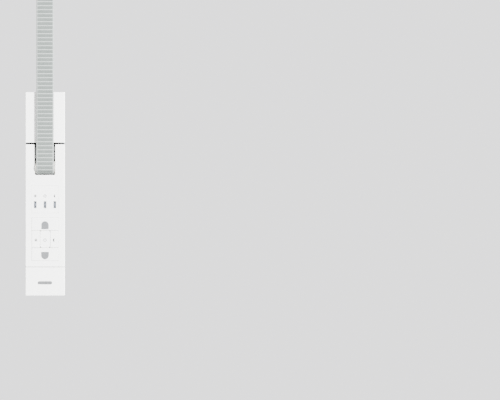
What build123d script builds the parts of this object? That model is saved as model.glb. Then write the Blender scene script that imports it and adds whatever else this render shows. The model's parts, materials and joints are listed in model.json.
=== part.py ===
from build123d import *
import os
from math import acos, asin, atan2, cos, degrees, hypot, pi, radians, sin, tan

os.makedirs("parts", exist_ok=True)

# Millimetres. X runs across the front, +Y goes into the wall and +Z is up.
# The origin is on the wall's surface, midway between the two fixing slots.

# The front: a tall narrow panel with a cover above and below it
WIDTH = 52.0
HEIGHT = 268.5
PROUD = 12.0
SKIN = 2.0
WALL_GAP = 0.3
EDGE_R = 1.1
PANEL_Z = (-96.3, 65.4)
COVER_FOOT_Z = 67.9
LOWER_TOP_Z = -96.7
FRONT_Y = -PROUD
PLATE_BACK_Y = FRONT_Y + SKIN

# The belt and the notch that it turns into
BELT_W = 23.0
BELT_T = 1.2
RUN_GAP = 0.3
NOTCH_W = 27.0
NOTCH_FOOT_Z = 25.0
GUIDE_Z = (264.0, 286.0)

# The deflection roller
ROLLER_Y, ROLLER_Z = -4.9, 35.6
ROLLER_R = 8.5
ROLLER_LEN = 25.0
ROLLER_AXLE_R = 2.0
RUNNING = 0.06

# The keys and switches
PAD_W = 35.4
SWITCH_PLATE_Z = (-25.2, 11.1)
SWITCH_PITCH = 12.9
SWITCH_Z = -14.2
SWITCH_SLOT = (3.6, 9.4)
UP_KEY_Z = (-48.3, -31.0)
MID_KEY_Z = (-71.0, -48.3)
DOWN_KEY_Z = (-88.3, -71.0)
SET_KEY_W = 13.4
KEY_GAP = 0.35
KEY_PROUD = 0.25

# The mounting frame
FRAME_T = 3.0
FRAME_W = 47.2
FRAME_H = 262.0
FRAME_OPENING = (34.4, 168.0)
FRAME_RECESS = 0.5
SLOT_SPACING = 215.0
SLOT_W = 4.6
SLOT_LEN = 10.0

# The housing in the wall
HOUSING_W = 42.0
SHELL_T = 2.0
HOUSING_TOP = 97.0
HOUSING_FOOT = -96.0
HOUSING_DEEP = 118.0
HOUSING_FRONT_Y = -FRAME_RECESS

# The reel and its belt
REEL_Y, REEL_Z = 66.0, -35.0
REEL_AXLE_R = 5.0
HUB_R = 14.0
WINDING_R = 38.0
FLANGE_R = 55.0
FLANGE_T = 1.5
FLANGE_X = 12.5

# The gear train: a worm, a worm wheel, a pinion and the toothed rim of the reel
RIM_MODULE = 1.0
RIM_TEETH = 112
RIM_T = 3.5
PINION_TEETH = 14
PINION_ANGLE = 65.0
WORM_MODULE = 1.2
WORM_STARTS = 2
WHEEL_TEETH = 20
WHEEL_W = 6.0
WORM_R = 5.5
WORM_LEN = 26.0
PRESSURE = radians(20)
WHEEL_AXLE_R = 2.0
SHAFT_R = 2.0

# The motor
MOTOR_R = 14.0
MOTOR_Y = (18.0, 72.0)

# Fasteners
SCREW_R = 1.5
HEAD_R = 2.8

pinion_reach = RIM_MODULE * (RIM_TEETH + PINION_TEETH) / 2
WHEEL_Y = REEL_Y + pinion_reach * cos(radians(PINION_ANGLE))
WHEEL_Z = REEL_Z + pinion_reach * sin(radians(PINION_ANGLE))
WHEEL_R = WORM_MODULE * WHEEL_TEETH / 2
WORM_Z = WHEEL_Z + WHEEL_R + WORM_R + 0.1
LEAD = pi * WORM_MODULE * WORM_STARTS
BOARD_Y = (-4.9, -3.3)
BOARD_Z = (-86.0, -6.5)
RIM_ROOT_R = RIM_MODULE * (RIM_TEETH / 2 - 1.25)


def block(x, y, z):
    """A box from its low and high limits along each axis."""
    at = Pos((x[0] + x[1]) / 2, (y[0] + y[1]) / 2, (z[0] + z[1]) / 2)
    return at * Box(x[1] - x[0], y[1] - y[0], z[1] - z[0])


def rod_x(r, y, z, x0, x1):
    return Pos((x0 + x1) / 2, y, z) * Rot(0, 90, 0) * Cylinder(r, x1 - x0)


def rod_y(r, x, z, y0, y1):
    return Pos(x, (y0 + y1) / 2, z) * Rot(90, 0, 0) * Cylinder(r, y1 - y0)


def across(face, x0, x1):
    """A face drawn with Y across and Z up, as a solid from x0 to x1."""
    return Pos(x0, 0, 0) * extrude(Plane.YZ * face, x1 - x0)


def group(pieces):
    return Compound([s for p in pieces for s in p.solids()])


def save(name, *pieces):
    export_step(group(pieces) if len(pieces) > 1 else pieces[0], f"parts/{name}.step")


def mirrored(piece):
    """The piece and its mirror image across the middle plane."""
    return [piece, mirror(piece, Plane.YZ)]


# ---- Front mouldings ----

def tray(z, open_top, open_foot):
    """A shallow moulding: a front plate with walls back to the wall and rounded front edges."""
    half = WIDTH / 2
    body = block((-half, half), (FRONT_Y, -WALL_GAP), z)
    ends = [e for e in body.edges().filter_by(Axis.Y)
            if not (open_top and e.center().Z > z[1] - 0.1) and not (open_foot and e.center().Z < z[0] + 0.1)]
    if ends:
        body = fillet(ends, EDGE_R)
    rim = [e for e in body.faces().sort_by(Axis.Y)[0].edges()
           if not (open_top and e.center().Z > z[1] - 0.1) and not (open_foot and e.center().Z < z[0] + 0.1)]
    body = fillet(rim, EDGE_R * 0.9)
    low = z[0] - 1 if open_foot else z[0] + SKIN
    high = z[1] + 1 if open_top else z[1] - SKIN
    inside = half - SKIN
    hollow = block((-inside, inside), (PLATE_BACK_Y, 1), (low, high))
    return body - hollow


def front_panel():
    panel = tray(PANEL_Z, False, False)
    inside = WIDTH / 2 - SKIN
    panel -= block((-inside, inside), (-FRAME_T - 0.4, 1), (PANEL_Z[0] - 1, PANEL_Z[1] + 1))
    notch = block((-NOTCH_W / 2, NOTCH_W / 2), (FRONT_Y - 1, 1), (NOTCH_FOOT_Z, PANEL_Z[1] + 1))
    notch = fillet(notch.edges().filter_by(Axis.Y).group_by(Axis.Z)[0], 1.5)
    panel -= notch
    panel -= block((-PAD_W / 2, PAD_W / 2), (FRONT_Y - 1, PLATE_BACK_Y + 1), (DOWN_KEY_Z[0], UP_KEY_Z[1]))
    panel -= block((-PAD_W / 2, PAD_W / 2), (FRONT_Y - 1, FRONT_Y + 1.2), SWITCH_PLATE_Z)
    for x in switch_places():
        panel -= block((x - 2.6, x + 2.6), (FRONT_Y, PLATE_BACK_Y + 1), (SWITCH_Z - 5.7, SWITCH_Z + 5.7))
    for x in (-1, 1):
        for z in (18.0, -91.0):
            post = block((x * 22.6 - 1.4, x * 22.6 + 1.4), (PLATE_BACK_Y, -FRAME_T), (z - 1.5, z + 1.5))
            panel += post
    return panel


def switch_places():
    return [SWITCH_PITCH * i for i in (-1, 0, 1)]


def switch_plate():
    half = PAD_W / 2 - 0.12
    plate = block((-half, half), (FRONT_Y, FRONT_Y + 1.2), (SWITCH_PLATE_Z[0] + 0.12, SWITCH_PLATE_Z[1] - 0.12))
    plate = fillet(plate.edges().filter_by(Axis.Y), 0.8)
    w, h = SWITCH_SLOT
    for x in switch_places():
        slot = block((x - w / 2, x + w / 2), (FRONT_Y - 1, FRONT_Y + 2), (SWITCH_Z - h / 2, SWITCH_Z + h / 2))
        plate -= fillet(slot.edges().filter_by(Axis.Y), 0.5)
    return plate


def switch_knob(x):
    """A finger nub on a flat foot that slides behind the slot and closes it."""
    nub = block((x - 1.45, x + 1.45), (FRONT_Y + 0.2, PLATE_BACK_Y + 0.4), (SWITCH_Z - 1.8, SWITCH_Z + 1.8))
    nub = fillet(nub.faces().sort_by(Axis.Y)[0].edges(), 0.35)
    foot = block((x - 2.4, x + 2.4), (PLATE_BACK_Y + 0.35, PLATE_BACK_Y + 1.2), (SWITCH_Z - 8.0, SWITCH_Z + 8.0))
    return nub + foot


def upper_cover():
    return tray((COVER_FOOT_Z, HEIGHT / 2), False, True)


def lower_cover():
    cover = tray((-HEIGHT / 2, LOWER_TOP_Z), True, False)
    for x in (-16.0, 16.0):
        cover += block((x - 3, x + 3), (PLATE_BACK_Y, -FRAME_T - 0.4), (-126.0, -124.4))
    return cover


def blank_badge():
    bar = block((-9.5, 9.5), (FRONT_Y - 0.3, FRONT_Y), (-119.2, -115.2))
    return fillet(bar.edges().filter_by(Axis.Y), 1.9)


# ---- Keys ----

def key(x, z, rounded):
    """A key cap with a plunger; x and z are the limits of its place in the pad."""
    g = KEY_GAP / 2
    cap = block((x[0] + g, x[1] - g), (FRONT_Y - KEY_PROUD, PLATE_BACK_Y + 0.3), (z[0] + g, z[1] - g))
    cap = fillet(cap.edges().filter_by(Axis.Y), rounded)
    cap = fillet(cap.faces().sort_by(Axis.Y)[0].edges(), 0.5)
    cx, cz = (x[0] + x[1]) / 2, (z[0] + z[1]) / 2
    return cap + rod_y(2.2, cx, cz, PLATE_BACK_Y + 0.2, BOARD_Y[0] - 3.9 - 0.4)


def key_layout():
    half, mid = PAD_W / 2, SET_KEY_W / 2
    return {
        "up_key": ((-half, half), UP_KEY_Z, 0.8),
        "sun_key": ((-half, -mid), MID_KEY_Z, 0.8),
        "set_key": ((-mid, mid), MID_KEY_Z, 2.4),
        "moon_key": ((mid, half), MID_KEY_Z, 0.8),
        "down_key": ((-half, half), DOWN_KEY_Z, 0.8),
    }


# ---- Mounting frame and the roller in it ----

def frame_screw_places():
    return [(x, z) for x in (-18.2, 18.2) for z in (-91.0, 91.0)]


def board_screw_places():
    return [(x, z) for x in (-19.4, 19.4) for z in (-82.0, -28.0)]


BRACKET_SCREW = (19.4, 53.0)


def mounting_frame():
    frame = block((-FRAME_W / 2, FRAME_W / 2), (-FRAME_T, 0), (-FRAME_H / 2, FRAME_H / 2))
    frame = fillet(frame.edges().filter_by(Axis.Y), 2.0)
    # A rib each side stands in the joint between the covers, so that no light shows through it.
    joint = (PANEL_Z[1] + 0.1, COVER_FOOT_Z - 0.1)
    frame += block((-WIDTH / 2 + 0.6, WIDTH / 2 - 0.6), (-FRAME_T, -WALL_GAP), joint)
    w, h = FRAME_OPENING
    opening = block((-w / 2, w / 2), (-FRAME_T - 1, 1), (-h / 2, h / 2))
    frame -= fillet(opening.edges().filter_by(Axis.Y), 2.0)
    rest = HOUSING_W / 2 + 0.2
    frame -= block((-rest, rest), (-FRAME_RECESS, 1), (HOUSING_FOOT - 0.5, HOUSING_TOP + 0.5))
    for z in (-SLOT_SPACING / 2, SLOT_SPACING / 2):
        slot = SlotOverall(SLOT_LEN, SLOT_W, rotation=90)
        frame -= Pos(0, 1, z) * extrude(Plane.XZ * slot, FRAME_T + 2)
    sites = frame_screw_places() + board_screw_places()
    sites += [(-BRACKET_SCREW[0], BRACKET_SCREW[1]), BRACKET_SCREW]
    for x, z in sites:
        frame -= rod_y(SCREW_R, x, z, -FRAME_T - 1, 1)
    for z in (-120.5, 120.5):
        frame -= block((-17, -7), (-FRAME_T - 1, 1), (z - 2.5, z + 2.5))
        frame -= block((7, 17), (-FRAME_T - 1, 1), (z - 2.5, z + 2.5))
    return frame


def pan_screw_y(x, z, head_y, length):
    """A screw along +Y whose head's underside is at head_y."""
    head = rod_y(HEAD_R, x, z, head_y - 1.5, head_y)
    head = fillet(head.faces().sort_by(Axis.Y)[0].edges(), 0.7)
    head -= block((x - 1.9, x + 1.9), (head_y - 2, head_y - 0.8), (z - 0.35, z + 0.35))
    head -= block((x - 0.35, x + 0.35), (head_y - 2, head_y - 0.8), (z - 1.9, z + 1.9))
    return head + rod_y(SCREW_R, x, z, head_y, head_y + length)


CHEEK_X = (13.7, 15.3)
CHEEK_TOP = 61.0


def roller_bracket():
    y, z = (-9.4, 6.4), (28.0, CHEEK_TOP)
    body = block((-CHEEK_X[1], CHEEK_X[1]), (4.8, 6.4), (46.5, CHEEK_TOP))
    x, sz = BRACKET_SCREW
    for cheek in mirrored(block(CHEEK_X, y, z)):
        body += fillet(cheek.edges().filter_by(Axis.X), 2.5)
    for wing in mirrored(block((CHEEK_X[1] - 0.1, 22.4), (-FRAME_T - 1.6, -FRAME_T), (sz - 7, sz + 7))):
        body += wing
    for side in (-1, 1):
        body -= rod_y(SCREW_R, side * x, sz, -FRAME_T - 3, 1)
    return body - rod_x(ROLLER_AXLE_R, ROLLER_Y, ROLLER_Z, -20, 20)


def roller_axle():
    axle = rod_x(ROLLER_AXLE_R, ROLLER_Y, ROLLER_Z, -17.0, 17.0)
    for side in (-1, 1):
        axle -= rod_x(3, ROLLER_Y, ROLLER_Z, side * 16.2 - 0.3, side * 16.2 + 0.3) - \
            rod_x(1.6, ROLLER_Y, ROLLER_Z, side * 16.2 - 1, side * 16.2 + 1)
    return axle


def axle_clip(side):
    ring = rod_x(3.6, ROLLER_Y, ROLLER_Z, side * 16.2 - 0.3, side * 16.2 + 0.3)
    ring -= rod_x(1.6, ROLLER_Y, ROLLER_Z, -20, 20)
    return ring - block((-20, 20), (ROLLER_Y - 1.1, ROLLER_Y + 1.1), (ROLLER_Z - 5, ROLLER_Z))


def deflection_roller():
    half = ROLLER_LEN / 2
    roller = rod_x(ROLLER_R, ROLLER_Y, ROLLER_Z, -half, half)
    for x0, x1 in ((-half, -half + 0.6), (half - 0.6, half)):
        roller += rod_x(ROLLER_R + 0.9, ROLLER_Y, ROLLER_Z, x0, x1)
    return roller - rod_x(ROLLER_AXLE_R + RUNNING, ROLLER_Y, ROLLER_Z, -20, 20)


# ---- The belt ----

ROLLER_RUN_R = ROLLER_R + RUN_GAP + BELT_T / 2
REEL_RUN_R = WINDING_R + RUN_GAP + BELT_T / 2


def belt_tangents():
    """Where the belt's centre line leaves the roller's underside and meets the top of the winding."""
    dy, dz = REEL_Y - ROLLER_Y, REEL_Z - ROLLER_Z
    slope = atan2(dz, dy) + asin((ROLLER_RUN_R + REEL_RUN_R) / hypot(dy, dz))
    ny, nz = -sin(slope), cos(slope)
    leave = (ROLLER_Y - ROLLER_RUN_R * ny, ROLLER_Z - ROLLER_RUN_R * nz)
    meet = (REEL_Y + REEL_RUN_R * ny, REEL_Z + REEL_RUN_R * nz)
    return leave, meet, slope


def ring_sector(cy, cz, r, from_deg, to_deg):
    """A belt-thick arc round a centre, in the plane of Y across and Z up."""
    arc = CenterArc((cy, cz), r, from_deg, to_deg - from_deg)
    return trace(arc, BELT_T)


def belt_run_inside():
    leave, meet, slope = belt_tangents()
    straight = trace(Line(leave, meet), BELT_T)
    turn = ring_sector(ROLLER_Y, ROLLER_Z, ROLLER_RUN_R, 180, 270 + degrees(slope))
    on_reel = ring_sector(REEL_Y, REEL_Z, REEL_RUN_R, 90 + degrees(slope) - 24, 90 + degrees(slope))
    return across(straight + turn + on_reel, -BELT_W / 2, BELT_W / 2)


def belt_run_outside():
    y = ROLLER_Y - ROLLER_RUN_R
    return block((-BELT_W / 2, BELT_W / 2), (y - BELT_T / 2, y + BELT_T / 2), (ROLLER_Z, GUIDE_Z[1] - 2))


def belt_guide():
    """The slotted guide where the belt comes out of the shutter's box."""
    y = ROLLER_Y - ROLLER_RUN_R
    body = block((-19, 19), (y - 5, 0), GUIDE_Z)
    body = fillet(body.edges().filter_by(Axis.Z).group_by(Axis.Y)[0], 3)
    body = fillet(body.faces().sort_by(Axis.Y)[0].edges(), 1)
    slot = block((-13, 13), (y - 1.8, y + 1.8), (GUIDE_Z[0] - 1, GUIDE_Z[1] + 1))
    body -= fillet(slot.edges().filter_by(Axis.Z), 1.2)
    return body - block((-16, 16), (y + 5, -2.5), (GUIDE_Z[0] + 2.5, GUIDE_Z[1] + 1))


# ---- Housing ----

def housing_outline(inset):
    """The housing's side view: a tall front, a deep top for the motor and a round bay for the reel."""
    def box(y0, y1, z0, z1):
        return Pos((y0 + y1) / 2, (z0 + z1) / 2) * Rectangle(y1 - y0, z1 - z0)
    front = box(HOUSING_FRONT_Y, REEL_Y, HOUSING_FOOT + inset, HOUSING_TOP - inset)
    top = box(HOUSING_FRONT_Y, HOUSING_DEEP - inset, REEL_Z, HOUSING_TOP - inset)
    bay = Pos(REEL_Y, REEL_Z) * Circle(61.0 - inset)
    outline = front + top + bay
    far = [v for v in outline.vertices() if v.Y > HOUSING_TOP - inset - 0.1 and v.X > REEL_Y]
    return fillet(far, 8.0 - inset)


def lug_places():
    return [(REEL_Y + 62.5 * cos(radians(a)), REEL_Z + 62.5 * sin(radians(a))) for a in (-62, -8)]


def post_places():
    return [(112.0, 90.0), (8.0, 80.0), (14.0, -84.0)] + lug_places()


def housing_half(side):
    """One half of the housing; side is -1 for the left half and 1 for the right."""
    def span(a, b):
        return sorted((side * a, side * b))
    outer, inner = HOUSING_W / 2, HOUSING_W / 2 - SHELL_T
    body = across(housing_outline(0), *span(0, outer))
    for y, z in lug_places():
        body += rod_x(4.5, y, z, *span(0, outer - 1.5))
    hollow = across(housing_outline(SHELL_T), *span(-1, inner))
    body -= hollow
    body -= block(span(-1, inner), (HOUSING_FRONT_Y - 1, 4), (HOUSING_FOOT + SHELL_T, HOUSING_TOP - SHELL_T))
    posts = Part() + [rod_x(3.6, y, z, *span(0, inner + 0.1)) for y, z in post_places()[:3]]
    posts += rod_x(9.0, REEL_Y, REEL_Z, *span(17.2 if side > 0 else 15.2, inner + 0.1))
    posts += rod_x(5.0, WHEEL_Y, WHEEL_Z, *span(17.2 if side > 0 else 5.0, inner + 0.1))
    for y in (30.0, 62.0):
        cradle = block(span(0.2, inner + 0.1), (y - 1, y + 1), (WORM_Z - MOTOR_R - 2, WORM_Z + MOTOR_R + 1.5))
        posts += cradle - rod_y(MOTOR_R, 0, WORM_Z, 0, 100)
    for z in (91.0, -91.0):
        posts += block(span(14.4, inner + 0.1), (HOUSING_FRONT_Y, 12.0), (z - 4, z + 4))
    body += posts
    body += reinforcing(side)
    return body - housing_openings(side)


def reinforcing(side):
    """Raised rings and ribs on the outside of the half."""
    out = HOUSING_W / 2
    lo, hi = sorted((side * (out - 0.2), side * (out + 0.7)))
    ring = rod_x(26, REEL_Y, REEL_Z, lo, hi) - rod_x(24.4, REEL_Y, REEL_Z, lo - 1, hi + 1)
    ring += rod_x(11, REEL_Y, REEL_Z, lo, hi)
    for angle in (0, 60, 120):
        spoke = block((lo, hi), (-52, 52), (-0.8, 0.8))
        spoke = Pos(0, REEL_Y, REEL_Z) * Rot(angle, 0, 0) * spoke
        ring += spoke - rod_x(10, REEL_Y, REEL_Z, lo - 1, hi + 1)
    for z in (58.0, 88.0):
        ring += block((lo, hi), (8, 104), (z - 0.8, z + 0.8))
    return ring


def housing_openings(side):
    """Screw holes, axle seats, vents and the cable hole."""
    outer = HOUSING_W / 2
    cut = Part() + [rod_x(SCREW_R, y, z, -16, 22) for y, z in post_places()]
    if side > 0:
        for y, z in post_places()[:3]:
            cut += rod_x(HEAD_R + 0.2, y, z, outer - 1.6, outer + 2)
        for y, z in post_places()[3:]:
            cut += rod_x(HEAD_R + 0.2, y, z, outer - 3.1, outer + 2)
    cut += rod_x(REEL_AXLE_R, REEL_Y, REEL_Z, -outer + 1.2, outer - 1.2)
    cut += rod_x(WHEEL_AXLE_R, WHEEL_Y, WHEEL_Z, -outer + 1.2, outer - 1.2)
    cut += rod_y(6.0, 0, CABLE_Z, HOUSING_DEEP - 10, HOUSING_DEEP + 5)
    for x in (-7.6, 7.6):
        cut += rod_y(SCREW_R, x, CABLE_Z - 9.5, HOUSING_DEEP - 10, HOUSING_DEEP - 0.6)
    for x, z in frame_screw_places():
        cut += rod_y(SCREW_R, x, z, -2, 9)
    for i in range(7):
        y = 34 + 4.2 * i
        vent = block((-outer - 1, outer + 1), (y - 1, y + 1), (WORM_Z - 8, WORM_Z + 8))
        cut += fillet(vent.edges().filter_by(Axis.X), 0.95) - block((-17, 17), (0, 99), (0, 99))
    return cut


CABLE_Z = 72.0


def pan_screw_x(y, z, head_x, length):
    """A screw that points along -X, with its head's underside at head_x."""
    head = rod_x(HEAD_R, y, z, head_x, head_x + 1.5)
    head = fillet(head.faces().sort_by(Axis.X)[-1].edges(), 0.7)
    head -= block((head_x + 0.8, head_x + 2), (y - 1.9, y + 1.9), (z - 0.35, z + 0.35))
    head -= block((head_x + 0.8, head_x + 2), (y - 0.35, y + 0.35), (z - 1.9, z + 1.9))
    return head + rod_x(SCREW_R, y, z, head_x - length, head_x)


def housing_screws():
    outer = HOUSING_W / 2
    inside = [pan_screw_x(y, z, outer - 1.6, 33) for y, z in post_places()[:3]]
    return inside + [pan_screw_x(y, z, outer - 3.1, 31) for y, z in post_places()[3:]]


# ---- Gears and the reel ----

def involute_half_angle(r, base, teeth, backlash):
    """Half of a tooth's angle at radius r, for an involute flank."""
    roll = acos(min(1.0, base / max(r, base)))
    drawn = (pi / 2 - backlash) / teeth
    return drawn + (tan(PRESSURE) - PRESSURE) - (tan(roll) - roll)


def gear_face(module, teeth, phase_deg, backlash, addendum=1.0, steps=4):
    """A spur gear's section with its first tooth at phase_deg; backlash is in modules of tooth width."""
    pitch = module * teeth / 2
    base, root, tip = pitch * cos(PRESSURE), pitch - 1.25 * module, pitch + addendum * module
    start = max(root, base)
    radii = [root] * (start > root) + [start + (tip - start) * i / steps for i in range(steps + 1)]
    outline = []
    for n in range(teeth):
        middle = radians(phase_deg) + 2 * pi * n / teeth
        flank = [(r, involute_half_angle(r, base, teeth, backlash)) for r in radii]
        side = [(r, -a) for r, a in flank] + [(r, a) for r, a in reversed(flank)]
        outline += [(r * cos(middle + a), r * sin(middle + a)) for r, a in side]
    return make_face(Polyline(*outline, close=True))


def twisted(face, length, angle):
    """A face in the XY plane drawn out along +Z and turned by angle degrees on the way."""
    solid = Solid.extrude_linear_with_rotation(face.faces()[0], (0, 0, 0), (0, 0, length), angle)
    return Part() + (solid if solid.volume > 0 else -solid)


def reel_gear():
    rim = gear_face(RIM_MODULE, RIM_TEETH, PINION_ANGLE, 0.16, steps=2)
    rim = Pos(REEL_Y, REEL_Z) * (rim - Circle(HUB_R))
    disc = across(rim, FLANGE_X, FLANGE_X + RIM_T)
    for x in (FLANGE_X - 1, FLANGE_X + RIM_T - 1.2):
        dish = rod_x(RIM_ROOT_R - 3.5, REEL_Y, REEL_Z, x, x + 2.2) - rod_x(HUB_R + 5, REEL_Y, REEL_Z, x - 1, x + 4)
        disc -= dish if x > FLANGE_X else Part()
    for n in range(6):
        angle = radians(60 * n + 30)
        hole = (REEL_Y + 34 * cos(angle), REEL_Z + 34 * sin(angle))
        disc -= rod_x(9.5, *hole, 0, 30)
    return disc


def reel_hub():
    hub = rod_x(HUB_R, REEL_Y, REEL_Z, -FLANGE_X - FLANGE_T, FLANGE_X + RIM_T)
    hub += rod_x(FLANGE_R, REEL_Y, REEL_Z, -FLANGE_X - FLANGE_T, -FLANGE_X)
    for n in range(6):
        angle = radians(60 * n + 30)
        hole = (REEL_Y + 34 * cos(angle), REEL_Z + 34 * sin(angle))
        hub -= rod_x(9.5, *hole, -30, 0)
    return hub - rod_x(REEL_AXLE_R + RUNNING, REEL_Y, REEL_Z, -30, 30)


def belt_winding():
    half = BELT_W / 2
    return rod_x(WINDING_R, REEL_Y, REEL_Z, -half, half) - rod_x(HUB_R, REEL_Y, REEL_Z, -30, 30)


def drive_pinion():
    teeth = gear_face(RIM_MODULE, PINION_TEETH, PINION_ANGLE + 180 + 180 / PINION_TEETH, 0.16)
    pinion = across(Pos(WHEEL_Y, WHEEL_Z) * teeth, FLANGE_X - 0.3, FLANGE_X + RIM_T + 0.4)
    pinion += rod_x(4.5, WHEEL_Y, WHEEL_Z, -WHEEL_W / 2 - 1, FLANGE_X)
    return pinion - rod_x(WHEEL_AXLE_R + RUNNING, WHEEL_Y, WHEEL_Z, -20, 20)


def worm_wheel():
    """Helical teeth at the worm's lead angle, with a gap facing the worm in the middle plane."""
    twist = degrees(WHEEL_W * LEAD / (2 * pi * WORM_R) / WHEEL_R)
    face = gear_face(WORM_MODULE, WHEEL_TEETH, 90 + 180 / WHEEL_TEETH - WORM_HAND * twist / 2, 0.35)
    wheel = twisted(face, WHEEL_W, WORM_HAND * twist)
    wheel = Pos(-WHEEL_W / 2, WHEEL_Y, WHEEL_Z) * Rot(0, 90, 0) * Rot(0, 0, 90) * wheel
    return wheel - rod_x(4.5, WHEEL_Y, WHEEL_Z, -20, 20)


WORM_HAND = 1


def worm_section():
    """The worm across its axis: one lobe for each start."""
    tip, root = WORM_R + WORM_MODULE, WORM_R - 1.25 * WORM_MODULE
    lines = []
    for n in range(WORM_STARTS):
        turn = 2 * pi * n / WORM_STARTS

        def at(r, a):
            return (r * cos(turn + radians(a)), r * sin(turn + radians(a)))
        crest, foot, next_foot = 15, 56, 360 / WORM_STARTS - 56
        lines += [ThreePointArc(at(tip, -crest), at(tip, 0), at(tip, crest)),
                  Line(at(tip, crest), at(root, foot)),
                  ThreePointArc(at(root, foot), at(root, 180 / WORM_STARTS), at(root, next_foot)),
                  Line(at(root, next_foot), at(tip, 360 / WORM_STARTS - crest))]
    return make_face(lines)


def worm():
    """The thread's crest faces the wheel at the wheel's own Y."""
    turns = WORM_LEN / LEAD
    thread = twisted(worm_section(), WORM_LEN, WORM_HAND * 360 * turns)
    thread = Rot(0, 0, -WORM_HAND * 180 * turns) * thread
    placed = Pos(0, WHEEL_Y - WORM_LEN / 2, WORM_Z) * Rot(-90, 0, 0) * Rot(0, 0, 90) * thread
    return placed - rod_y(SHAFT_R, 0, WORM_Z, 0, 130)


# ---- Motor ----

def motor_can():
    y0, y1 = MOTOR_Y
    can = rod_y(MOTOR_R, 0, WORM_Z, y0, y1)
    can = fillet(can.faces().sort_by(Axis.Y)[-1].edges(), 1.5)
    can += rod_y(5, 0, WORM_Z, y1 - 1, y1 + 2.2)
    can -= rod_y(MOTOR_R - 1.5, 0, WORM_Z, y0 - 1, y1 - 1.8)
    can -= rod_y(SHAFT_R + RUNNING, 0, WORM_Z, y0, y1 + 5)
    for x in (-8.5, 8.5):
        can -= rod_y(SCREW_R, x, WORM_Z, y1 - 3, y1 + 1)
    return can


def motor_magnets():
    y0, y1 = 26.0, 62.0
    ring = rod_y(MOTOR_R - 1.5, 0, WORM_Z, y0, y1) - rod_y(10.4, 0, WORM_Z, y0 - 1, y1 + 1)
    return mirrored(ring & block((3.5, 20), (y0, y1), (WORM_Z - 20, WORM_Z + 20)))


def motor_armature():
    core = rod_y(9.8, 0, WORM_Z, 27, 61)
    for n in range(7):
        slot = block((-0.7, 0.7), (20, 70), (6.2, 12))
        core -= Pos(0, 0, WORM_Z) * Rot(0, 360 / 7 * n, 0) * slot
    return core - rod_y(SHAFT_R, 0, WORM_Z, 0, 100)


def motor_end_cap():
    y0 = MOTOR_Y[0]
    cap = rod_y(MOTOR_R, 0, WORM_Z, y0 - 3, y0) + rod_y(5, 0, WORM_Z, y0 - 4.5, y0 - 2.9)
    cap += rod_y(MOTOR_R - 1.5, 0, WORM_Z, y0 - 0.1, y0 + 4) - rod_y(MOTOR_R - 3, 0, WORM_Z, y0 - 0.1, y0 + 5)
    cap -= rod_y(SHAFT_R + RUNNING, 0, WORM_Z, 0, 40)
    for x in (-7.0, 7.0):
        cap += block((x - 1.4, x + 1.4), (y0 - 8, y0 - 2.9), (WORM_Z - 9.4, WORM_Z - 8.6))
    return cap


def gear_plate():
    """The steel plate that the motor is screwed to, held in the housing."""
    y = (MOTOR_Y[1], MOTOR_Y[1] + 2.0)
    plate = block((-18.7, 18.7), y, (WORM_Z - 13, WORM_Z + 13))
    plate = fillet(plate.edges().filter_by(Axis.Y), 3)
    plate -= rod_y(5, 0, WORM_Z, 0, 100)
    for x in (-8.5, 8.5):
        plate -= rod_y(SCREW_R, x, WORM_Z, 0, 100)
    return plate


def motor_screw(x):
    head = MOTOR_Y[1] + 2.0
    screw = rod_y(2.4, x, WORM_Z, head, head + 1.4) + rod_y(SCREW_R, x, WORM_Z, head - 3.6, head)
    return screw - block((x - 1.8, x + 1.8), (head + 0.7, head + 2), (WORM_Z - 0.35, WORM_Z + 0.35))


def bearing_block():
    y = (109.0, HOUSING_DEEP - SHELL_T)
    body = block((-9, 9), y, (WORM_Z - 9, WORM_Z + 9))
    body = fillet(body.edges().filter_by(Axis.Y), 2)
    return body - rod_y(4.5, 0, WORM_Z, 100, 114)


def worm_bearing():
    return rod_y(4.5, 0, WORM_Z, 109, 114) - rod_y(SHAFT_R + RUNNING, 0, WORM_Z, 100, 120)


def motor_shaft():
    return rod_y(SHAFT_R, 0, WORM_Z, 8.2, 113.2)


def encoder_disc():
    return rod_y(6.0, 0, WORM_Z, 9.0, 11.2) - rod_y(SHAFT_R, 0, WORM_Z, 0, 20)


# ---- Electronics ----

def control_board():
    board = block((-21.5, 21.5), BOARD_Y, BOARD_Z)
    board = fillet(board.edges().filter_by(Axis.Y), 1.5)
    for x, z in board_screw_places():
        board -= rod_y(SCREW_R, x, z, -10, 0)
    return board


def tact_switch(x, z):
    body = block((x - 3, x + 3), (BOARD_Y[0] - 3.2, BOARD_Y[0]), (z - 3, z + 3))
    return body + rod_y(1.7, x, z, BOARD_Y[0] - 3.4, BOARD_Y[0] - 3)


def slide_switch(x):
    y = BOARD_Y[0]
    return block((x - 3.4, x + 3.4), (y - 3.4, y), (SWITCH_Z - 5, SWITCH_Z + 5))


def transformer():
    """An E-I core round the middle of a wound coil."""
    core = block((-14.8, 9.2), (22, 50), (60, 90))
    windows = [block((-20, 20), (27, 45), (65, 72)), block((-20, 20), (27, 45), (78, 85))]
    for window in windows:
        core -= window
    coil = block((-17.6 + 2.9, 13.2), (27, 45), (65, 85)) - block((-20, 20), (27, 45), (72, 78))
    coil += block((9.2, 13.2), (27, 45), (65, 85))
    return core, coil


def terminal_block():
    body = block((-14.8, -3.8), (90, 102), (60, 87))
    for z in terminal_places():
        body -= block((-12, -6.5), (96, 103), (z - 2.8, z + 2.8))
        body -= rod_x(2.4, 95.5, z, -8, 0)
    return body


def terminal_places():
    return [64.5, 73.5, 82.5]


def terminal_screw(z):
    screw = rod_x(2.4, 95.5, z, -8, -5)
    return screw - block((-5.8, -4), (93, 98), (z - 0.4, z + 0.4))


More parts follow.
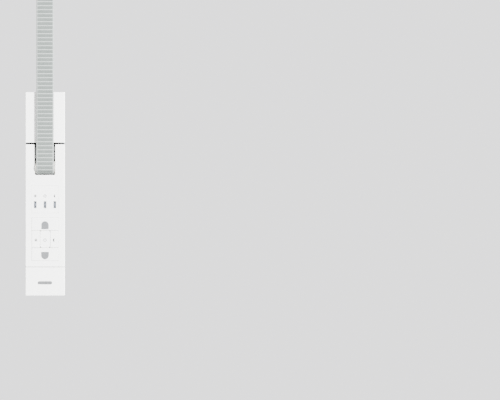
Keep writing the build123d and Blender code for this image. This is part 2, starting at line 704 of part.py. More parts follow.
def cable_grommet():
    y = HOUSING_DEEP
    body = rod_y(6.0, 0, CABLE_Z, y - SHELL_T, y)
    body += rod_y(8.0, 0, CABLE_Z, y, y + 1.6) + rod_y(8.0, 0, CABLE_Z, y - SHELL_T - 1.6, y - SHELL_T)
    return body - rod_y(3.5, 0, CABLE_Z, y - 10, y + 10)


def cable_clamp():
    y = HOUSING_DEEP - SHELL_T - 1.6
    body = block((-11, 11), (y - 3.5, y), (CABLE_Z - 13, CABLE_Z + 6.5))
    body = fillet(body.edges().filter_by(Axis.Y), 2)
    body += block((-11, 11), (y - 0.1, HOUSING_DEEP - SHELL_T), (CABLE_Z - 12.5, CABLE_Z - 8.4))
    body -= rod_y(3.9, 0, CABLE_Z, 0, 200)
    for x in (-7.6, 7.6):
        body -= rod_y(SCREW_R, x, CABLE_Z - 9.5, 90, 130)
    return body


# ---- Sub-parts ----

save("front_panel", front_panel())
save("switch_plate", switch_plate())
save("upper_cover", upper_cover())
save("lower_cover", lower_cover())
save("blank_badge", blank_badge())
for name, place in key_layout().items():
    save(name, key(*place))
for name, x in zip(("left_switch_knob", "middle_switch_knob", "right_switch_knob"), switch_places()):
    save(name, switch_knob(x))

save("mounting_frame", mounting_frame())
save("frame_screws", *[pan_screw_y(x, z, -FRAME_T, 11) for x, z in frame_screw_places()])
save("roller_bracket", roller_bracket())
save("bracket_screws", *[pan_screw_y(s * BRACKET_SCREW[0], BRACKET_SCREW[1], -FRAME_T - 1.6, 4) for s in (-1, 1)])
save("roller_axle", roller_axle())
save("axle_clips", axle_clip(-1), axle_clip(1))
save("deflection_roller", deflection_roller())

save("belt_run_outside", belt_run_outside())
save("belt_run_inside", belt_run_inside())
save("belt_guide", belt_guide())

save("housing_left", housing_half(-1))
save("housing_right", housing_half(1))
save("housing_screws", *housing_screws())

save("reel_hub", reel_hub())
save("reel_gear", reel_gear())
save("belt_winding", belt_winding())
save("reel_axle", rod_x(REEL_AXLE_R, REEL_Y, REEL_Z, -HOUSING_W / 2 + 1.3, HOUSING_W / 2 - 1.3))
save("worm_wheel", worm_wheel())
save("drive_pinion", drive_pinion())
save("wheel_axle", rod_x(WHEEL_AXLE_R, WHEEL_Y, WHEEL_Z, -HOUSING_W / 2 + 1.3, HOUSING_W / 2 - 1.3))
save("worm", worm())

save("motor_shaft", motor_shaft())
save("motor_armature", motor_armature())
save("motor_can", motor_can())
save("motor_magnets", *motor_magnets())
save("motor_end_cap", motor_end_cap())
save("motor_screws", motor_screw(-8.5), motor_screw(8.5))
save("gear_plate", gear_plate())
save("bearing_block", bearing_block())
save("worm_bearing", worm_bearing())
save("encoder_disc", encoder_disc())
save("hall_sensor", block((-2, 2), (8.6, 11.6), (WORM_Z + 6.6, WORM_Z + 8.6)))

save("control_board", control_board())
save("board_screws", *[pan_screw_y(x, z, BOARD_Y[0], 4) for x, z in board_screw_places()])
centres = [((x[0] + x[1]) / 2, (z[0] + z[1]) / 2) for x, z, _ in key_layout().values()]
save("tact_switches", *[tact_switch(x, z) for x, z in centres])
save("slide_switch_bodies", *[slide_switch(x) for x in switch_places()])
save("microcontroller", block((-6, 6), (BOARD_Y[1], BOARD_Y[1] + 1.6), (-46, -34)))

core, coil = transformer()
save("power_board", block((-16.4, -14.8), (16, 104), (57, 94)))
save("transformer_core", core)
save("transformer_coil", coil)
save("motor_relays", block((-14.8, 1), (54, 68), (74, 92)), block((-14.8, 1), (71, 85), (74, 92)))
save("smoothing_capacitor", rod_x(6.3, 61, 65.5, -14.8, 8))
save("terminal_block", terminal_block())
save("terminal_screws", *[terminal_screw(z) for z in terminal_places()])
save("cable_grommet", cable_grommet())
save("cable_clamp", cable_clamp())
save("clamp_screws", *[pan_screw_y(x, CABLE_Z - 9.5, 110.9, 5.5) for x in (-7.6, 7.6)])
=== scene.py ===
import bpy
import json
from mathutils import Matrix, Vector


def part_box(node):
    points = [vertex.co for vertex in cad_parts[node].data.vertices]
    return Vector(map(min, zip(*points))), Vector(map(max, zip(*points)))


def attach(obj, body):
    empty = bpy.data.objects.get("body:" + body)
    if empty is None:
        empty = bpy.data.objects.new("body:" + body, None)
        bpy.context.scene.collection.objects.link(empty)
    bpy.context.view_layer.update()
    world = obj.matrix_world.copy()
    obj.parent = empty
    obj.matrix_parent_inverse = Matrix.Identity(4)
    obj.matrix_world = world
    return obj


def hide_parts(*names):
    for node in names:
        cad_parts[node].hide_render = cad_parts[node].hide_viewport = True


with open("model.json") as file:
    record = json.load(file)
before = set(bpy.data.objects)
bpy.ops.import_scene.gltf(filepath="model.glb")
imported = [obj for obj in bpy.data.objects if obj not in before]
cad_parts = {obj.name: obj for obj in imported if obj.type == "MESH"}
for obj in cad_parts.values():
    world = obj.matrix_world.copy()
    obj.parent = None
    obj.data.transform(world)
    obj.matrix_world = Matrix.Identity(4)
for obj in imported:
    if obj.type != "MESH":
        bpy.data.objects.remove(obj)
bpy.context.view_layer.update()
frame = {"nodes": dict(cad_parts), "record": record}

import json
from math import cos, pi, radians, sin, tau

import bmesh
import bpy
from mathutils import Vector

MM = 0.001
nodes = frame["nodes"]

panel_low, panel_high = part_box("front_panel")
WIDTH = panel_high.x - panel_low.x
FRONT_Y = panel_low.y


# ---- Camera: level, square to the front, with the object left of the middle ----

FRONT_SHARE = 0.0788      # the front's width as a share of the view's width
FRONT_OFFSET = 0.41       # how far left of the middle it stands, as a share of the view's width
CAMERA_Z = -8.0 * MM
CAMERA_DISTANCE = 10.0
CLIP_END = 60.0
SENSOR_MM = 36.0


def make_camera():
    """A long lens far off, so that only the front's face shows, as in the photograph."""
    data = bpy.data.cameras.new("camera")
    camera = bpy.data.objects.new("camera", data)
    bpy.context.scene.collection.objects.link(camera)
    view_width = WIDTH / FRONT_SHARE
    data.sensor_width = SENSOR_MM
    data.lens = SENSOR_MM * CAMERA_DISTANCE / view_width
    data.clip_end = CLIP_END
    camera.location = (view_width * FRONT_OFFSET, FRONT_Y - CAMERA_DISTANCE, CAMERA_Z)
    camera.rotation_euler = (pi / 2, 0, 0)
    bpy.context.scene.camera = camera


make_camera()


# ---- Mesh helpers ----

SHARP_ANGLE = radians(50)


def piece(name, verts, faces, body, material, smooth=True, replaces=()):
    """A new visible piece from a mesh, riding on a body and taking its finish from a slot."""
    mesh = bpy.data.meshes.new(name)
    mesh.from_pydata(verts, [], faces)
    mesh.validate()
    bm = bmesh.new()
    bm.from_mesh(mesh)
    bmesh.ops.recalc_face_normals(bm, faces=bm.faces)
    bm.to_mesh(mesh)
    bm.free()
    made = bpy.data.objects.new(name, mesh)
    bpy.context.scene.collection.objects.link(made)
    mesh.materials.append(material)
    if smooth:
        mesh.polygons.foreach_set("use_smooth", [True] * len(mesh.polygons))
        mesh.set_sharp_from_angle(angle=SHARP_ANGLE)
    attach(made, body)
    if replaces:
        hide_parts(*replaces)
    return made


def tube_faces(rings, around):
    """Faces that join rings of vertices, each with the same count around, and close both ends."""
    faces = []
    for i in range(rings - 1):
        for j in range(around):
            k = (j + 1) % around
            faces.append((i * around + j, i * around + k, (i + 1) * around + k, (i + 1) * around + j))
    faces.append(tuple(range(around)))
    faces.append(tuple((rings - 1) * around + j for j in reversed(range(around))))
    return faces


# ---- Materials ----

class Nodes:
    """A material's node tree, with short ways to add and join nodes."""

    def __init__(self, name):
        self.material = bpy.data.materials.new(name)
        self.material.use_nodes = True
        self.tree = self.material.node_tree
        self.shader = self.tree.nodes["Principled BSDF"]
        self.place = self.tree.nodes.new("ShaderNodeTexCoord")

    def add(self, kind, inputs=None, **settings):
        node = self.tree.nodes.new(kind)
        for key, value in settings.items():
            setattr(node, key, value)
        for key, value in (inputs or {}).items():
            if isinstance(value, bpy.types.NodeSocket):
                self.tree.links.new(value, node.inputs[key])
            else:
                node.inputs[key].default_value = value
        return node

    def noise(self, scale, detail=3.0, rough=0.5, stretch=(1, 1, 1)):
        mapped = self.add("ShaderNodeMapping", {"Vector": self.place.outputs["Object"], "Scale": stretch})
        made = self.add("ShaderNodeTexNoise", {"Vector": mapped.outputs[0], "Scale": scale,
                                               "Detail": detail, "Roughness": rough})
        return made.outputs["Fac"]

    def ramp(self, factor, stops):
        node = self.add("ShaderNodeValToRGB", {"Fac": factor})
        while len(node.color_ramp.elements) < len(stops):
            node.color_ramp.elements.new(0.5)
        for element, (at, colour) in zip(node.color_ramp.elements, stops):
            element.position = at
            element.color = (*colour, 1)
        return node.outputs["Color"]

    def spread(self, factor, low, high):
        """A factor of 0 to 1 drawn out from low to high."""
        return self.add("ShaderNodeMapRange", {"Value": factor, "To Min": low, "To Max": high}).outputs[0]

    def step(self, value, start, end, low=0.0, high=1.0):
        """A soft step from low to high as a value goes from start to end."""
        return self.add("ShaderNodeMapRange", {"Value": value, "From Min": start, "From Max": end,
                                               "To Min": low, "To Max": high}).outputs[0]

    def math(self, operation, a, b):
        return self.add("ShaderNodeMath", {0: a, 1: b}, operation=operation).outputs[0]

    def size(self, value):
        """The value without its sign."""
        return self.math("ABSOLUTE", value, 0.0)

    def off_middle(self, value):
        """How far a repeat's value is from the middle of the repeat, from 0 to 0.5."""
        return self.size(self.math("SUBTRACT", self.math("FRACT", value, 0.0), 0.5))

    def blend(self, a, b, share):
        """The sum of two factors, with this share of a and the rest of b."""
        return self.math("ADD", self.math("MULTIPLY", a, share), self.math("MULTIPLY", b, 1 - share))

    def mix(self, factor, a, b):
        node = self.add("ShaderNodeMix", data_type="RGBA")
        for socket, value in ((node.inputs[0], factor), (node.inputs[6], a), (node.inputs[7], b)):
            if isinstance(value, bpy.types.NodeSocket):
                self.tree.links.new(value, socket)
            else:
                socket.default_value = (*value, 1) if isinstance(value, tuple) else value
        return node.outputs[2]

    def bump(self, height, distance, strength):
        inputs = {"Height": height, "Distance": distance, "Strength": strength}
        return self.add("ShaderNodeBump", inputs).outputs[0]

    def join(self, socket, value):
        self.tree.links.new(value, self.shader.inputs[socket])

    def set(self, socket, value):
        self.shader.inputs[socket].default_value = value


def shade(colour, factor):
    return tuple(min(1.0, c * factor) for c in colour)


def moulded_nodes(name, colour, rough, grain=0.02, mottle=0.03, pitch=2600, coat=0.0, subsurface=0.0):
    """Moulded plastic: faint flow mottling, a spark-eroded grain in mm of depth and uneven gloss."""
    n = Nodes(name)
    flow = n.noise(26, 4, 0.55, (1, 1, 0.45))
    cloud = n.noise(140, 3, 0.5)
    fine = n.noise(pitch, 2, 0.6)
    dull, pale = shade(colour, 1 - mottle), shade(colour, 1 + mottle * 0.6)
    n.join("Base Color", n.ramp(n.blend(flow, cloud, 0.65), [(0.32, dull), (0.5, colour), (0.7, pale)]))
    n.join("Roughness", n.spread(n.blend(cloud, fine, 0.5), rough - 0.09, rough + 0.09))
    n.join("Normal", n.bump(n.math("ADD", fine, n.math("MULTIPLY", cloud, 0.5)), grain * MM, 0.5))
    n.set("Coat Weight", coat)
    n.set("Coat Roughness", 0.25)
    if subsurface:
        n.set("Subsurface Weight", subsurface)
        n.set("Subsurface Radius", (1.2 * MM, 1.1 * MM, 0.9 * MM))
    return n


def moulded(*look, **details):
    return moulded_nodes(*look, **details).material


def housing(name, colour):
    """Glass-filled nylon in two halves: moulded plastic with the dark seam where the halves meet at x = 0."""
    n = moulded_nodes(name, colour, 0.72, grain=0.05, mottle=0.14, pitch=1500)
    x = n.add("ShaderNodeSeparateXYZ", {"Vector": n.place.outputs["Object"]}).outputs["X"]
    seam = n.step(n.size(x), 0.08 * MM, 0.22 * MM, 1.0, 0.0)
    plain = n.shader.inputs["Base Color"].links[0].from_socket
    n.join("Base Color", n.mix(n.math("MULTIPLY", seam, 0.85), plain, shade(colour, 0.12)))
    n.set("Specular IOR Level", 0.18)
    return n.material


def metal(name, colour, rough, along=(1, 1, 1), tint=None, grain=0.006):
    """Worked metal: drawn or rolled streaks along one axis, with soft stains."""
    n = Nodes(name)
    streak = n.noise(420, 4, 0.65, along)
    stain = n.noise(60, 5, 0.6)
    n.join("Base Color", n.mix(n.spread(stain, 0.0, 0.55), colour, tint or shade(colour, 0.82)))
    n.join("Roughness", n.spread(n.blend(streak, stain, 0.6), rough - 0.12, rough + 0.14))
    n.join("Normal", n.bump(streak, grain * MM, 0.6))
    n.set("Metallic", 1.0)
    return n.material


WAVE_PERIOD = tau / 20    # how far apart a wave texture's bands are at scale 1


def layered(name, dark, light, axis, pitch, rough, metallic=0.0, depth=0.03):
    """Layers or wraps one pitch apart along an axis, such as laminations or tape."""
    n = Nodes(name)
    wave = n.add("ShaderNodeTexWave", {"Vector": n.place.outputs["Object"], "Scale": WAVE_PERIOD / pitch,
                                       "Distortion": 0.35, "Detail": 2.0, "Detail Scale": 1.5},
                 bands_direction=axis)
    stain = n.noise(90, 4)
    n.join("Base Color", n.ramp(n.blend(wave.outputs["Fac"], stain, 0.7), [(0.15, dark), (0.75, light)]))
    n.join("Roughness", n.spread(stain, rough - 0.1, rough + 0.1))
    n.join("Normal", n.bump(wave.outputs["Fac"], depth * MM, 0.7))
    n.set("Metallic", metallic)
    return n.material


def circuit(name):
    """Green solder mask over copper tracks that run up and across."""
    n = Nodes(name)
    board, copper, worn = (0.012, 0.10, 0.045), (0.035, 0.22, 0.085), (0.008, 0.07, 0.03)
    upright = n.add("ShaderNodeMapping", {"Vector": n.place.outputs["Object"], "Rotation": (pi / 2, 0, 0)})
    cells = n.add("ShaderNodeTexBrick", {"Vector": upright.outputs[0], "Scale": 95.0, "Mortar Size": 0.035,
                                         "Mortar Smooth": 0.2, "Bias": 0.0, "Brick Width": 0.62,
                                         "Row Height": 0.28})
    tracks = cells.outputs["Fac"]
    stain = n.noise(50, 4)
    n.join("Base Color", n.mix(n.spread(stain, 0.0, 0.35), n.mix(tracks, board, copper), worn))
    n.join("Roughness", n.spread(stain, 0.22, 0.38))
    n.join("Normal", n.bump(tracks, 0.035 * MM, 0.8))
    n.set("Coat Weight", 0.3)
    return n.material


BELT_W = 23.0 * MM
BELT_T = 1.2 * MM
RIB = 1.76 * MM           # from one rib to the next
SELVEDGE = 1.7 * MM       # the flat woven edge on each side
PALE_EVERY = 3            # one rib in this many is paler and stands higher


def webbing(name):
    """Ribbed strap: the UV map's U runs across and V along, both in rib pitches."""
    n = Nodes(name)
    body, deep = (0.088, 0.103, 0.096), (0.074, 0.084, 0.080)
    pale, edge = (0.310, 0.335, 0.322), (0.255, 0.276, 0.266)
    uv = n.add("ShaderNodeSeparateXYZ", {"Vector": n.place.outputs["UV"]})
    across, along = uv.outputs["X"], uv.outputs["Y"]
    flat = (BELT_W / 2 - SELVEDGE) / RIB
    selvedge = n.step(n.size(across), flat, flat + 0.25)
    pale_rib = n.step(n.off_middle(n.math("DIVIDE", along, float(PALE_EVERY))), 0.07, 0.13, 1.0, 0.0)
    # Painted shade: the furrows between the ribs are drawn darker, as the grooves would look in shade
    furrow_shade = n.step(n.off_middle(along), 0.3, 0.5)
    yarn = n.off_middle(n.math("MULTIPLY", across, 3.1))
    fuzz = n.noise(900, 4, 0.6)
    cloud = n.noise(70, 3, 0.5)
    # The body colour goes darker in the furrows between the ribs: painted shade in the grooves
    colour = n.mix(n.math("MULTIPLY", furrow_shade, 0.65), body, deep)
    colour = n.mix(n.math("MULTIPLY", pale_rib, 0.85), colour, pale)
    colour = n.mix(n.math("MULTIPLY", selvedge, 0.8), colour, edge)
    colour = n.mix(n.spread(fuzz, 0.0, 0.22), colour, deep)
    n.join("Base Color", n.mix(n.spread(cloud, 0.0, 0.14), colour, pale))
    n.join("Roughness", n.spread(fuzz, 0.68, 0.92))
    n.join("Normal", n.bump(n.math("ADD", yarn, n.math("MULTIPLY", fuzz, 0.8)), 0.10 * MM, 0.7))
    n.set("Sheen Weight", 0.25)
    n.set("Sheen Roughness", 0.5)
    n.set("Specular IOR Level", 0.25)
    return n.material


def two_tone(name, front, behind, border):
    """The slide switches: a darker finger nub in front of border, and the paler foot behind it."""
    n = Nodes(name)
    y = n.add("ShaderNodeSeparateXYZ", {"Vector": n.place.outputs["Object"]}).outputs["Y"]
    deep = n.math("GREATER_THAN", y, border)
    grain = n.noise(1800, 3)
    colour = n.mix(deep, front, behind)
    n.join("Base Color", n.mix(n.spread(grain, 0.0, 0.25), colour, shade(front, 0.8)))
    n.join("Roughness", n.spread(grain, 0.4, 0.58))
    n.join("Normal", n.bump(grain, 0.015 * MM, 0.6))
    return n.material


def printed(name, colour):
    """Pad-printed ink, slightly thin in places."""
    n = Nodes(name)
    speck = n.noise(1500, 3, 0.6)
    n.join("Base Color", n.ramp(speck, [(0.3, shade(colour, 0.93)), (0.7, shade(colour, 1.07))]))
    n.join("Roughness", n.spread(speck, 0.42, 0.58))
    n.join("Normal", n.bump(speck, 0.008 * MM, 0.5))
    return n.material


WHITE = (0.84, 0.84, 0.83)
SWITCH_FOOT_Y = FRONT_Y + 2.2 * MM   # behind this the switch knobs are pale

materials = {
    "front_white": moulded("front_white", WHITE, 0.42, grain=0.012, mottle=0.012, coat=0.08),
    "badge_grey": metal("badge_grey", (0.31, 0.315, 0.325), 0.42, (0.1, 1, 1)),
    "key_white": moulded("key_white", shade(WHITE, 0.99), 0.5, grain=0.01, mottle=0.012),
    "switch_grey": two_tone("switch_grey", (0.085, 0.095, 0.115), (0.300, 0.330, 0.375), SWITCH_FOOT_Y),
    "belt_webbing": webbing("belt_webbing"),
    "housing_plastic": housing("housing_plastic", (0.022, 0.023, 0.026)),
    # The frame's dark tone is partly its own dark plastic and partly painted shade: it sets how dark the gap
    # below the top cover looks
    "frame_plastic": moulded("frame_plastic", (0.055, 0.057, 0.061), 0.55, grain=0.03, mottle=0.1),
    "zinc_steel": metal("zinc_steel", (0.60, 0.61, 0.62), 0.34, (1, 0.12, 1), (0.50, 0.50, 0.46)),
    "roller_plastic": moulded("roller_plastic", (0.70, 0.69, 0.63), 0.38, mottle=0.03, subsurface=0.15),
    "reel_plastic": moulded("reel_plastic", (0.62, 0.61, 0.55), 0.42, mottle=0.04, subsurface=0.12),
    "worm_brass": metal("worm_brass", (0.72, 0.52, 0.22), 0.28, (1, 6, 1), (0.52, 0.35, 0.14)),
    "bronze": metal("bronze", (0.42, 0.27, 0.13), 0.48, (1, 1, 1), (0.28, 0.18, 0.09), grain=0.03),
    "magnet_black": moulded("magnet_black", (0.035, 0.035, 0.038), 0.5, grain=0.04, mottle=0.2, pitch=1800),
    "pcb_green": circuit("pcb_green"),
    "chip_black": moulded("chip_black", (0.022, 0.022, 0.025), 0.45, grain=0.02, mottle=0.15),
    "laminated_steel": layered("laminated_steel", (0.10, 0.10, 0.11), (0.26, 0.26, 0.27), "Y", 0.5 * MM, 0.45,
                               metallic=0.85),
    "coil_tape": layered("coil_tape", (0.50, 0.33, 0.03), (0.70, 0.50, 0.07), "Y", 5 * MM, 0.4),
    "relay_blue": moulded("relay_blue", (0.02, 0.07, 0.25), 0.4, mottle=0.08),
    "capacitor_sleeve": moulded("capacitor_sleeve", (0.02, 0.025, 0.05), 0.3, mottle=0.1, coat=0.3),
    "terminal_green": moulded("terminal_green", (0.03, 0.20, 0.09), 0.45, mottle=0.06),
    "grommet_rubber": moulded("grommet_rubber", (0.018, 0.018, 0.018), 0.7, grain=0.05, mottle=0.2),
    "guide_plastic": moulded("guide_plastic", (0.80, 0.80, 0.78), 0.4, mottle=0.02, coat=0.08),
}

for part in frame["record"]["subparts"]:
    shown = nodes[part["node"]]
    shown.data.materials.clear()
    shown.data.materials.append(materials[part["material_slot"]])


# ---- The belt ----

reel_low, reel_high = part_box("belt_winding")
REEL = ((reel_low.y + reel_high.y) / 2, (reel_low.z + reel_high.z) / 2)
WINDING_R = (reel_high.z - reel_low.z) / 2

# The belt's own line, in metres: taut from the roller up to the guide, and in under the roller to the reel.
BELT_ROUTE = [
    (0, -0.0143, 0.0356),
    (0, -0.0143, 0.0900),
    (0, -0.0143, 0.1700),
    (0, -0.0143, 0.2400),
    (0, -0.0143, 0.2840),
]
INSIDE_ROUTE = [
    (0, -0.0143, 0.0356),
    (0, -0.0143, 0.03246),
    (0, -0.01052, 0.02743),
    (0, -0.00447, 0.0257),
    (0, 0.06878, 0.00467),
    (0, 0.08468, 0.00011),
    (0, 0.09102, -0.00521),
]


def route_line(points, fineness):
    """The smooth line of a route, read from its NURBS spline; fineness is how many points each span gets."""
    data = bpy.data.curves.new("route", "CURVE")
    data.dimensions = "3D"
    spline = data.splines.new("NURBS")
    spline.points.add(len(points) - 1)
    for control, at in zip(spline.points, points):
        control.co = (*at, 1)
    spline.order_u = 3
    spline.use_endpoint_u = True
    spline.resolution_u = fineness
    holder = bpy.data.objects.new("route", data)
    mesh = bpy.data.meshes.new_from_object(holder)
    line = [v.co.copy() for v in mesh.vertices]
    bpy.data.objects.remove(holder)
    bpy.data.curves.remove(data)
    bpy.data.meshes.remove(mesh)
    return line


def strap_section(along):
    """The strap's outline at a distance along it, as (across, height): raised ribs and thin selvedges."""
    rib = (0.5 - 0.5 * cos(tau * along / RIB)) ** 0.7
    tall = 1.0 if int(along // RIB) % PALE_EVERY == 1 else 0.72
    lip = 0.80 + 0.14 * sin(tau * along / RIB * 0.5) ** 2
    flat = BELT_W / 2 - SELVEDGE
    middle_height = BELT_T / 2 * (0.68 + 0.28 * rib * tall)
    ribbed = [(flat * (i / 4 - 1), middle_height) for i in range(9)]
    edge = [(flat + SELVEDGE * t, BELT_T / 2 * lip * (1 - (2 * t - 0.9) ** 4 * 0.6))
            for t in (0.15, 0.45, 0.75, 0.93)]
    front = [(-x, h) for x, h in reversed(edge)] + ribbed + edge
    back = [(x, -h) for x, h in reversed(front)]
    return front + [(BELT_W / 2, 0.0)] + back + [(-BELT_W / 2, 0.0)]


def lay_uv(made, coords):
    """Give each vertex's place across and along the strap to the UV map that the webbing reads."""
    layer = made.data.uv_layers.new(name="strap")
    for loop in made.data.loops:
        layer.data[loop.index].uv = coords[loop.vertex_index]


def strap(name, line, start, direction, replaces):
    """A ribbed strap along a line; start and direction say how the ribs count on along it."""
    verts, coords = [], []
    around = len(strap_section(0))
    along = start
    for i, at in enumerate(line):
        tangent = (line[min(i + 1, len(line) - 1)] - line[max(i - 1, 0)]).normalized()
        out = Vector((0, -tangent.z, tangent.y)) * direction
        if i:
            along += direction * (at - line[i - 1]).length
        for x, height in strap_section(along):
            verts.append(at + out * height + Vector((x, 0, 0)))
            coords.append((x / RIB, along / RIB))
    made = piece(name, verts, tube_faces(len(line), around), "winder",
                 materials["belt_webbing"], replaces=replaces)
    lay_uv(made, coords)
    return made


# The distance along the belt at the roller: far from 0, so that it stays positive along both straps
BELT_START = 600 * RIB + 1.0 * MM

# How many points each span of a route's line gets: about eight rings of the strap to a rib
OUTSIDE_FINENESS = 380
INSIDE_FINENESS = 110

belt_line = route_line(BELT_ROUTE, OUTSIDE_FINENESS)
belt_outside = strap("belt_outside", belt_line, BELT_START, 1, ["belt_run_outside"])
strap("belt_inside", route_line(INSIDE_ROUTE, INSIDE_FINENESS), BELT_START, -1, ["belt_run_inside"])


HUB_R = 14.2 * MM         # the innermost turn lies just clear of the reel's core
TURNS = 18
STEPS_PER_TURN = 96


def winding():
    """The belt on the reel: one spiral, each turn lying on the last, with edges that wander a little."""
    outer = WINDING_R - 0.1 * MM
    pitch = (outer - HUB_R - BELT_T) / TURNS
    half = BELT_W / 2
    rounded = half - 0.35 * MM
    verts, coords = [], []
    for i in range(TURNS * STEPS_PER_TURN + 1):
        a = tau * i / STEPS_PER_TURN
        r = HUB_R + BELT_T / 2 + pitch * i / STEPS_PER_TURN
        edge = half - 0.06 * MM * sin(a * 7.3)
        # Across in metres, and height in belt thicknesses
        section = [(-rounded, 0.5), (-edge, 0.18), (-edge, -0.18), (-rounded, -0.5),
                   (rounded, -0.5), (edge, -0.18), (edge, 0.18), (rounded, 0.5)]
        for x, h in section:
            radius = r + h * BELT_T * 0.94
            verts.append((x, REEL[0] - radius * cos(a), REEL[1] + radius * sin(a)))
            coords.append((x / RIB, r * a / RIB))
    faces = tube_faces(TURNS * STEPS_PER_TURN + 1, 8)
    made = piece("belt_on_reel", verts, faces, "reel", materials["belt_webbing"],
                 replaces=["belt_winding"])
    lay_uv(made, coords)


winding()


# ---- Printed symbols: thin ink standing just proud of the surface ----

INK = 0.06 * MM
ink_grey = printed("ink_grey", (0.102, 0.106, 0.111))
ink_dark = printed("ink_dark", (0.012, 0.013, 0.014))
ink_pale = printed("ink_pale", (0.11, 0.114, 0.118))


def ink(name, outlines, at, surface_y, body, material):
    """Ink from closed outlines of (x, z) round a centre, from just inside the surface to just proud of it."""
    levels = ((surface_y + INK * 0.5, 1.0), (surface_y - INK * 0.7, 1.0), (surface_y - INK, 0.985))
    verts, faces = [], []
    for outline in outlines:
        base = len(verts)
        for y, scale in levels:
            verts += [(at[0] + x * scale, y, at[1] + z * scale) for x, z in outline]
        faces += [tuple(base + i for i in f) for f in tube_faces(len(levels), len(outline))]
    piece(name, verts, faces, body, material, smooth=False)


def arch(width, height, upside_down=False):
    """A key's symbol: square at one end with small corners, and round at the other."""
    r = width / 2
    dome = r * 1.02
    corner = 0.7 * MM
    foot = -height / 2
    spring = height / 2 - dome
    points = [(-r * cos(pi * i / 24), spring + dome * sin(pi * i / 24)) for i in range(25)]
    for cx, start in ((r - corner, 0.0), (-r + corner, -pi / 2)):
        for i in range(7):
            a = start - pi / 2 * i / 6
            points.append((cx + corner * cos(a), foot + corner + corner * sin(a)))
    flip = -1 if upside_down else 1
    return [(x * flip, z * flip) for x, z in points]


def disc(r, count=28):
    return [(r * cos(tau * i / count), r * sin(tau * i / count)) for i in range(count)]


def sun(r):
    """A disc and eight short rays with straight sides."""
    near, far, side = 0.8 * r, 1.2 * r, 0.16 * r
    rays = []
    for i in range(8):
        c, s = cos(tau * i / 8), sin(tau * i / 8)
        corners = ((near, side), (near, -side), (far, -side), (far, side))
        rays.append([(c * out - s * left, s * out + c * left) for out, left in corners])
    return [disc(0.62 * r)] + rays


def ring(r, wall, count=16):
    """A ring as short arcs end to end, each overlapping the next a little."""
    arcs = []
    for i in range(count):
        a, b = tau * i / count, tau * (i + 1.02) / count
        arcs.append([((r + wall) * cos(a), (r + wall) * sin(a)), ((r + wall) * cos(b), (r + wall) * sin(b)),
                     (r * cos(b), r * sin(b)), (r * cos(a), r * sin(a))])
    return arcs


def moon(r, count=14):
    """A crescent as a row of quads between its outer and inner arcs, without its two pointed ends."""
    shift, hollow = 0.35 * r, 0.22 * r
    outer = [(shift - r * sin(pi * i / count), r * cos(pi * i / count)) for i in range(count + 1)]
    inner = [(shift - hollow * sin(pi * i / count), r * cos(pi * i / count)) for i in range(count + 1)]
    return [[outer[i], outer[i + 1], inner[i + 1], inner[i]] for i in range(1, count - 1)]


def middle(node):
    low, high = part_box(node)
    return ((low.x + high.x) / 2, (low.z + high.z) / 2)


# Each key's symbol: its name, outlines and key, its place from the key's middle in mm, and its ink
KEY_SYMBOLS = (
    ("up_symbol", [arch(9.8 * MM, 10.6 * MM)], "up_key", (0, -1.6), ink_grey),
    ("down_symbol", [arch(10.2 * MM, 9.8 * MM, True)], "down_key", (0, -1.7), ink_grey),
    ("sun_symbol", sun(1.85 * MM), "sun_key", (0.3, -1.3), ink_dark),
    ("set_symbol", ring(1.35 * MM, 0.8 * MM), "set_key", (0, -1.3), ink_pale),
    ("moon_symbol", moon(2.4 * MM), "moon_key", (-0.3, -1.3), ink_dark),
)

# Each mark on the switch plate: its name, its outlines, the switch that it stands above, and its ink
SWITCH_MARKS = (
    ("sun_mark", sun(1.8 * MM), "left_switch_knob", ink_dark),
    ("ring_mark", ring(1.3 * MM, 0.75 * MM), "middle_switch_knob", ink_pale),
    ("moon_mark", moon(2.1 * MM), "right_switch_knob", ink_dark),
)
MARK_RISE = 11.5 * MM


def print_symbols():
    key_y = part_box("up_key")[0].y
    for name, outlines, key, (right, up), material in KEY_SYMBOLS:
        x, z = middle(key)
        ink(name, outlines, (x + right * MM, z + up * MM), key_y, key, material)
    plate_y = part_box("switch_plate")[0].y
    for name, outlines, knob, material in SWITCH_MARKS:
        x, z = middle(knob)
        ink(name, outlines, (x, z + MARK_RISE), plate_y, "winder", material)


print_symbols()


# ---- Light and floor ----

SURROUND = 2.1      # strength of the pale surround behind the object
AMBIENT = 0.85      # strength of the soft light that the surround sheds on it

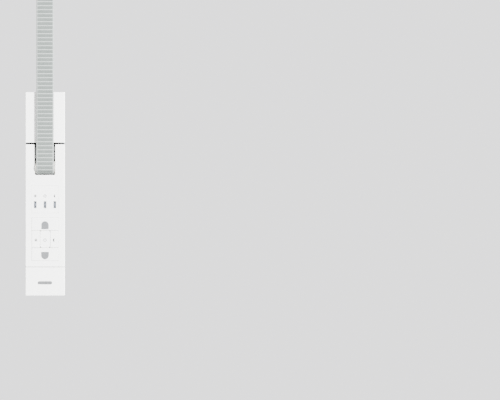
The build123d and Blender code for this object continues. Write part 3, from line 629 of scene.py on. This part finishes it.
# Each light: its name, where it stands, the point that it faces, its width (all in metres) and its watts
LIGHTS = (
    ("key", (2.5, -2.1, 1.9), (0, 0, 0), 0.5, 1230),
    ("fill", (-2.2, -2.0, 0.6), (0, 0, 0), 1.6, 25),
    ("back", (0.8, 2.4, 1.6), (0, 0.05, 0), 1.4, 320),
)

FLOOR_HALF = 1.1
FLOOR_Z = -0.46
FLOOR_CELLS = 24


def area_light(name, at, aim, size, power):
    data = bpy.data.lights.new(name, "AREA")
    data.size = size
    data.energy = power
    light = bpy.data.objects.new(name, data)
    bpy.context.scene.collection.objects.link(light)
    light.location = at
    light.rotation_euler = (Vector(aim) - Vector(at)).to_track_quat("-Z", "Y").to_euler()


def background(tree, colour, strength):
    node = tree.nodes.new("ShaderNodeBackground")
    node.inputs["Color"].default_value = (*colour, 1)
    node.inputs["Strength"].default_value = strength
    return node


def surround():
    """A pale studio that looks brighter than the light it sheds."""
    world = bpy.data.worlds.new("studio")
    bpy.context.scene.world = world
    world.use_nodes = True
    tree = world.node_tree
    tree.nodes.remove(tree.nodes["Background"])
    pale = background(tree, (0.985, 0.985, 1.0), SURROUND)
    gentle = background(tree, (0.97, 0.98, 1.0), AMBIENT)
    choose = tree.nodes.new("ShaderNodeMixShader")
    seen = tree.nodes.new("ShaderNodeLightPath")
    tree.links.new(seen.outputs["Is Camera Ray"], choose.inputs[0])
    tree.links.new(gentle.outputs[0], choose.inputs[1])
    tree.links.new(pale.outputs[0], choose.inputs[2])
    tree.links.new(choose.outputs[0], tree.nodes["World Output"].inputs["Surface"])


def floor():
    """A plain pale floor below the object, as a grid of square cells."""
    count = FLOOR_CELLS + 1
    steps = [FLOOR_HALF * (2 * i / FLOOR_CELLS - 1) for i in range(count)]
    verts = [(x, y, FLOOR_Z) for y in steps for x in steps]
    corners = [j * count + i for j in range(FLOOR_CELLS) for i in range(FLOOR_CELLS)]
    faces = [(k, k + 1, k + count + 1, k + count) for k in corners]
    mesh = bpy.data.meshes.new("floor")
    mesh.from_pydata(verts, [], faces)
    made = bpy.data.objects.new("floor", mesh)
    bpy.context.scene.collection.objects.link(made)
    mesh.materials.append(moulded("floor_paint", (0.70, 0.70, 0.69), 0.7, mottle=0.02))


surround()
for light in LIGHTS:
    area_light(*light)
floor()
